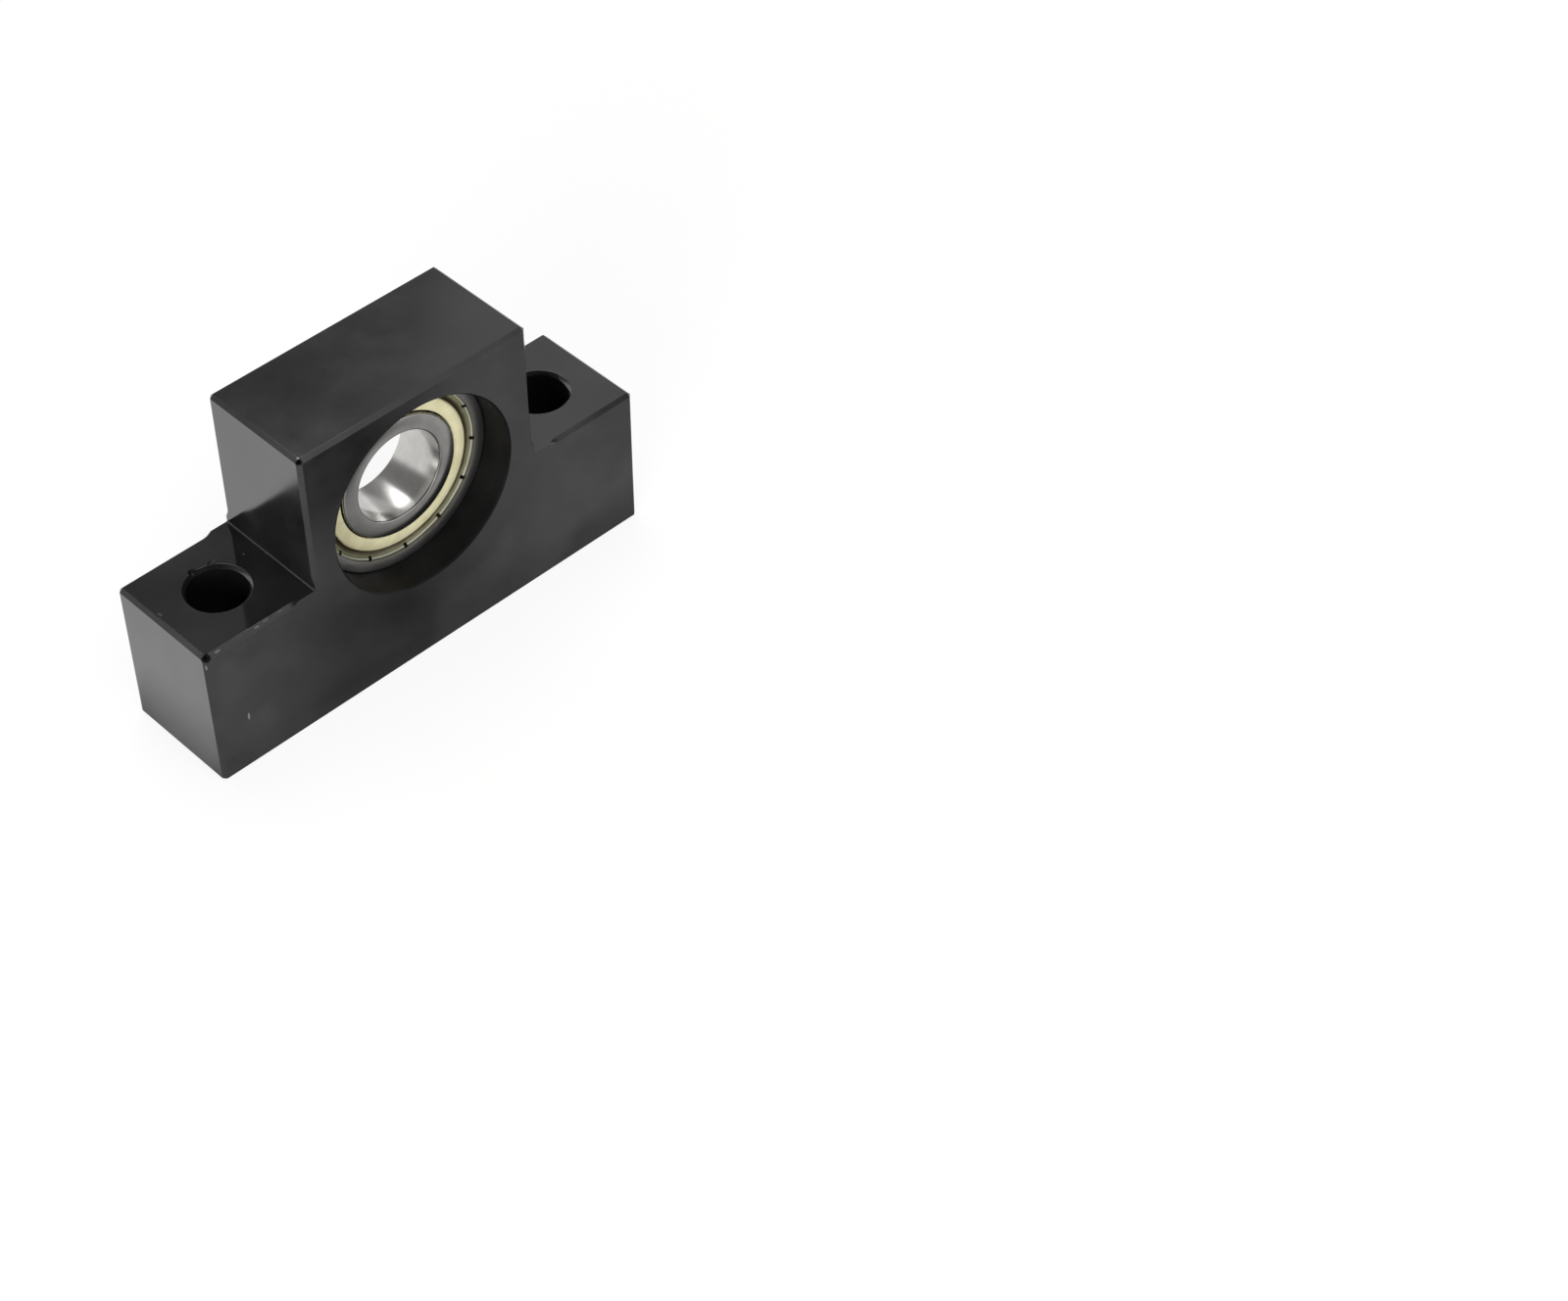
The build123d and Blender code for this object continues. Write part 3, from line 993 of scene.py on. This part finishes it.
def kinds_of_ray(tree):
    """1 for rays straight from the camera or through glass, and 1 for rays off a gloss."""
    rays = add(tree, "LightPath").outputs
    return larger(tree, rays["Is Camera Ray"], rays["Is Transmission Ray"]), rays["Is Glossy Ray"]


def mirrored_floor(tree, place, studio):
    """How bright the floor looks in reflections."""
    parts = split(tree, place)
    ahead = remap(tree, parts[1], *AHEAD, studio.near_floor, 1)
    beside = [less(tree, unsigned(tree, parts[axis]), CAD_BOX[1][axis]) for axis in (0, 1)]
    foot = remap(tree, larger(tree, *beside), 0, FOOT_REACH, FOOT_LEVEL, 1)
    level = times(tree, ahead, foot)
    for (middle, size, full), left in (
            (TOWER_PATCH, studio.shade), (FOOT_PATCH, studio.foot_shade)):
        scale = [1 / (part * MM) for part in size] + [0]
        away = stretched(tree, place, scale, [part * MM for part in middle] + [0])
        level = times(tree, level, remap(tree, reach(tree, away), full, 1.1, left, 1))
    return level


def floor_material(studio):
    """Pale floor that looks white behind the object and keeps its shadow."""
    material, tree, shader = new_material("floor")
    place = where(tree)
    cloud = noise(tree, place, *FLOOR_CLOUD)
    colour = mixed(tree, cloud, toned(studio.floor, 0.985), tuple(studio.floor))
    tree.links.new(colour, shader.inputs["Base Color"])
    shader.inputs["Roughness"].default_value = 0.9
    shader.inputs["Specular IOR Level"].default_value = 0.0
    seen, glossy = kinds_of_ray(tree)
    level = mirrored_floor(tree, place, studio)
    whiteness = remap(tree, reach(tree, place), *WHITENING)
    amount = plus(tree, times(tree, seen, whiteness),
                  times(tree, glossy, less(tree, 1.0, times(tree, level, MIRRORED_DROP))))
    glow = add(tree, "Emission", {"Color": (1, 1, 1, 1), "Strength": larger(tree, seen, level)})
    blend = add(tree, "MixShader", {0: amount, 1: shader.outputs[0], 2: glow.outputs[0]})
    tree.links.new(blend.outputs[0], tree.nodes["Material Output"].inputs["Surface"])
    return material


def room(studio):
    """A white backdrop under a dimmer ceiling; white wherever the camera sees it."""
    world = bpy.data.worlds.new("studio")
    bpy.context.scene.world = world
    world.use_nodes = True
    tree = world.node_tree
    background = tree.nodes["Background"]
    x, y, height = split(tree, add(tree, "TexCoord").outputs["Generated"])
    left = remap(tree, x, *LEFT_FADE, 0.1 * studio.front, studio.front)
    right = remap(tree, less(tree, x, height), *RIGHT_FADE, studio.front, 0.25 * studio.front)
    front = math_node(tree, "MINIMUM", left, right)
    behind = remap(tree, y, *BACK_FADE)
    ceiling = plus(tree, times(tree, behind, studio.ceiling),
                   times(tree, less(tree, 1.0, behind), front))
    level = remap(tree, height, *CEILING_FADE, 1, ceiling)
    seen, glossy = kinds_of_ray(tree)
    backdrop = times(tree, glossy, remap(tree, height, *BACKDROP_FADE, 1, 0))
    strength = larger(tree, level, larger(tree, seen, backdrop))
    tree.links.new(strength, background.inputs["Strength"])
    background.inputs["Color"].default_value = (*studio.wall, 1)


def softbox(name, place, size, brightness, in_gloss):
    """A square soft lamp; brightness 1 looks white."""
    lamp = bpy.data.lights.new(name, "AREA")
    lamp.shape, lamp.size = "SQUARE", size
    lamp.energy = brightness * math.pi * size ** 2
    held = bpy.data.objects.new(name, lamp)
    held.location = place
    held.rotation_mode = "QUATERNION"
    held.rotation_quaternion = (Vector(LAMP_AIM) - Vector(place)).to_track_quat("-Z", "Y")
    held.visible_camera = False
    held.visible_glossy = in_gloss
    bpy.context.scene.collection.objects.link(held)


def camera(studio):
    """The camera, standing where the photo was taken from."""
    lens = bpy.data.cameras.new("camera")
    lens.lens, lens.sensor_width = studio.lens, SENSOR
    lens.clip_start, lens.clip_end = 0.01, 50
    held = bpy.data.objects.new("camera", lens)
    level = math.cos(studio.tilt)
    back = Vector((
        math.sin(studio.turn) * level, -math.cos(studio.turn) * level, math.sin(studio.tilt)))
    held.rotation_mode = "QUATERNION"
    held.rotation_quaternion = (
        (-back).to_track_quat("-Z", "Y") @ Quaternion((0, 0, 1), studio.roll))
    held.location = studio.eye
    bpy.context.scene.collection.objects.link(held)
    bpy.context.scene.camera = held


class ENDSUPPORT_OT_studio(Operator):
    """Set up the floor, the light and the camera"""
    bl_idname = "end_support.studio"
    bl_label = "Studio"

    def execute(self, context):
        studio = context.scene.end_support.studio
        bm = bmesh.new()
        bmesh.ops.create_grid(bm, x_segments=4, y_segments=4, size=FLOOR_HALF)
        bmesh.ops.translate(bm, verts=bm.verts, vec=(0, 0, -FLOOR_DROP))
        mesh = as_mesh(bm, "floor")
        mesh.materials.append(floor_material(studio))
        floor = bpy.data.objects.new("floor", mesh)
        context.scene.collection.objects.link(floor)
        room(studio)
        for lamp in LAMPS:
            softbox(*lamp)
        camera(studio)
        context.scene.view_settings.view_transform = "Standard"
        return {"FINISHED"}


class VIEW3D_PT_end_support(Panel):
    """Lists the pieces of the end support"""
    bl_idname = "VIEW3D_PT_end_support"
    bl_label = "End Support"
    bl_space_type = "VIEW_3D"
    bl_region_type = "UI"
    bl_category = "End Support"

    def draw(self, context):
        for operator in OPERATORS:
            self.layout.operator(operator.bl_idname)


SETTINGS = (BlockSettings, BearingSettings, ShieldSettings, StudioSettings, EndSupportSettings)
OPERATORS = (ENDSUPPORT_OT_block, ENDSUPPORT_OT_rings, ENDSUPPORT_OT_balls, ENDSUPPORT_OT_cage,
             ENDSUPPORT_OT_shields, ENDSUPPORT_OT_studio)


def register():
    for kind in (*SETTINGS, *OPERATORS, VIEW3D_PT_end_support):
        bpy.utils.register_class(kind)
    bpy.types.Scene.end_support = PointerProperty(type=EndSupportSettings)


def unregister():
    del bpy.types.Scene.end_support
    for kind in reversed((*SETTINGS, *OPERATORS, VIEW3D_PT_end_support)):
        bpy.utils.unregister_class(kind)


def main():
    register()
    bpy.ops.end_support.studio()
    bpy.ops.end_support.block()
    bpy.ops.end_support.rings()
    bpy.ops.end_support.balls()
    bpy.ops.end_support.cage()
    bpy.ops.end_support.shields()
    bpy.context.view_layer.update()


if __name__ == "__main__":
    main()
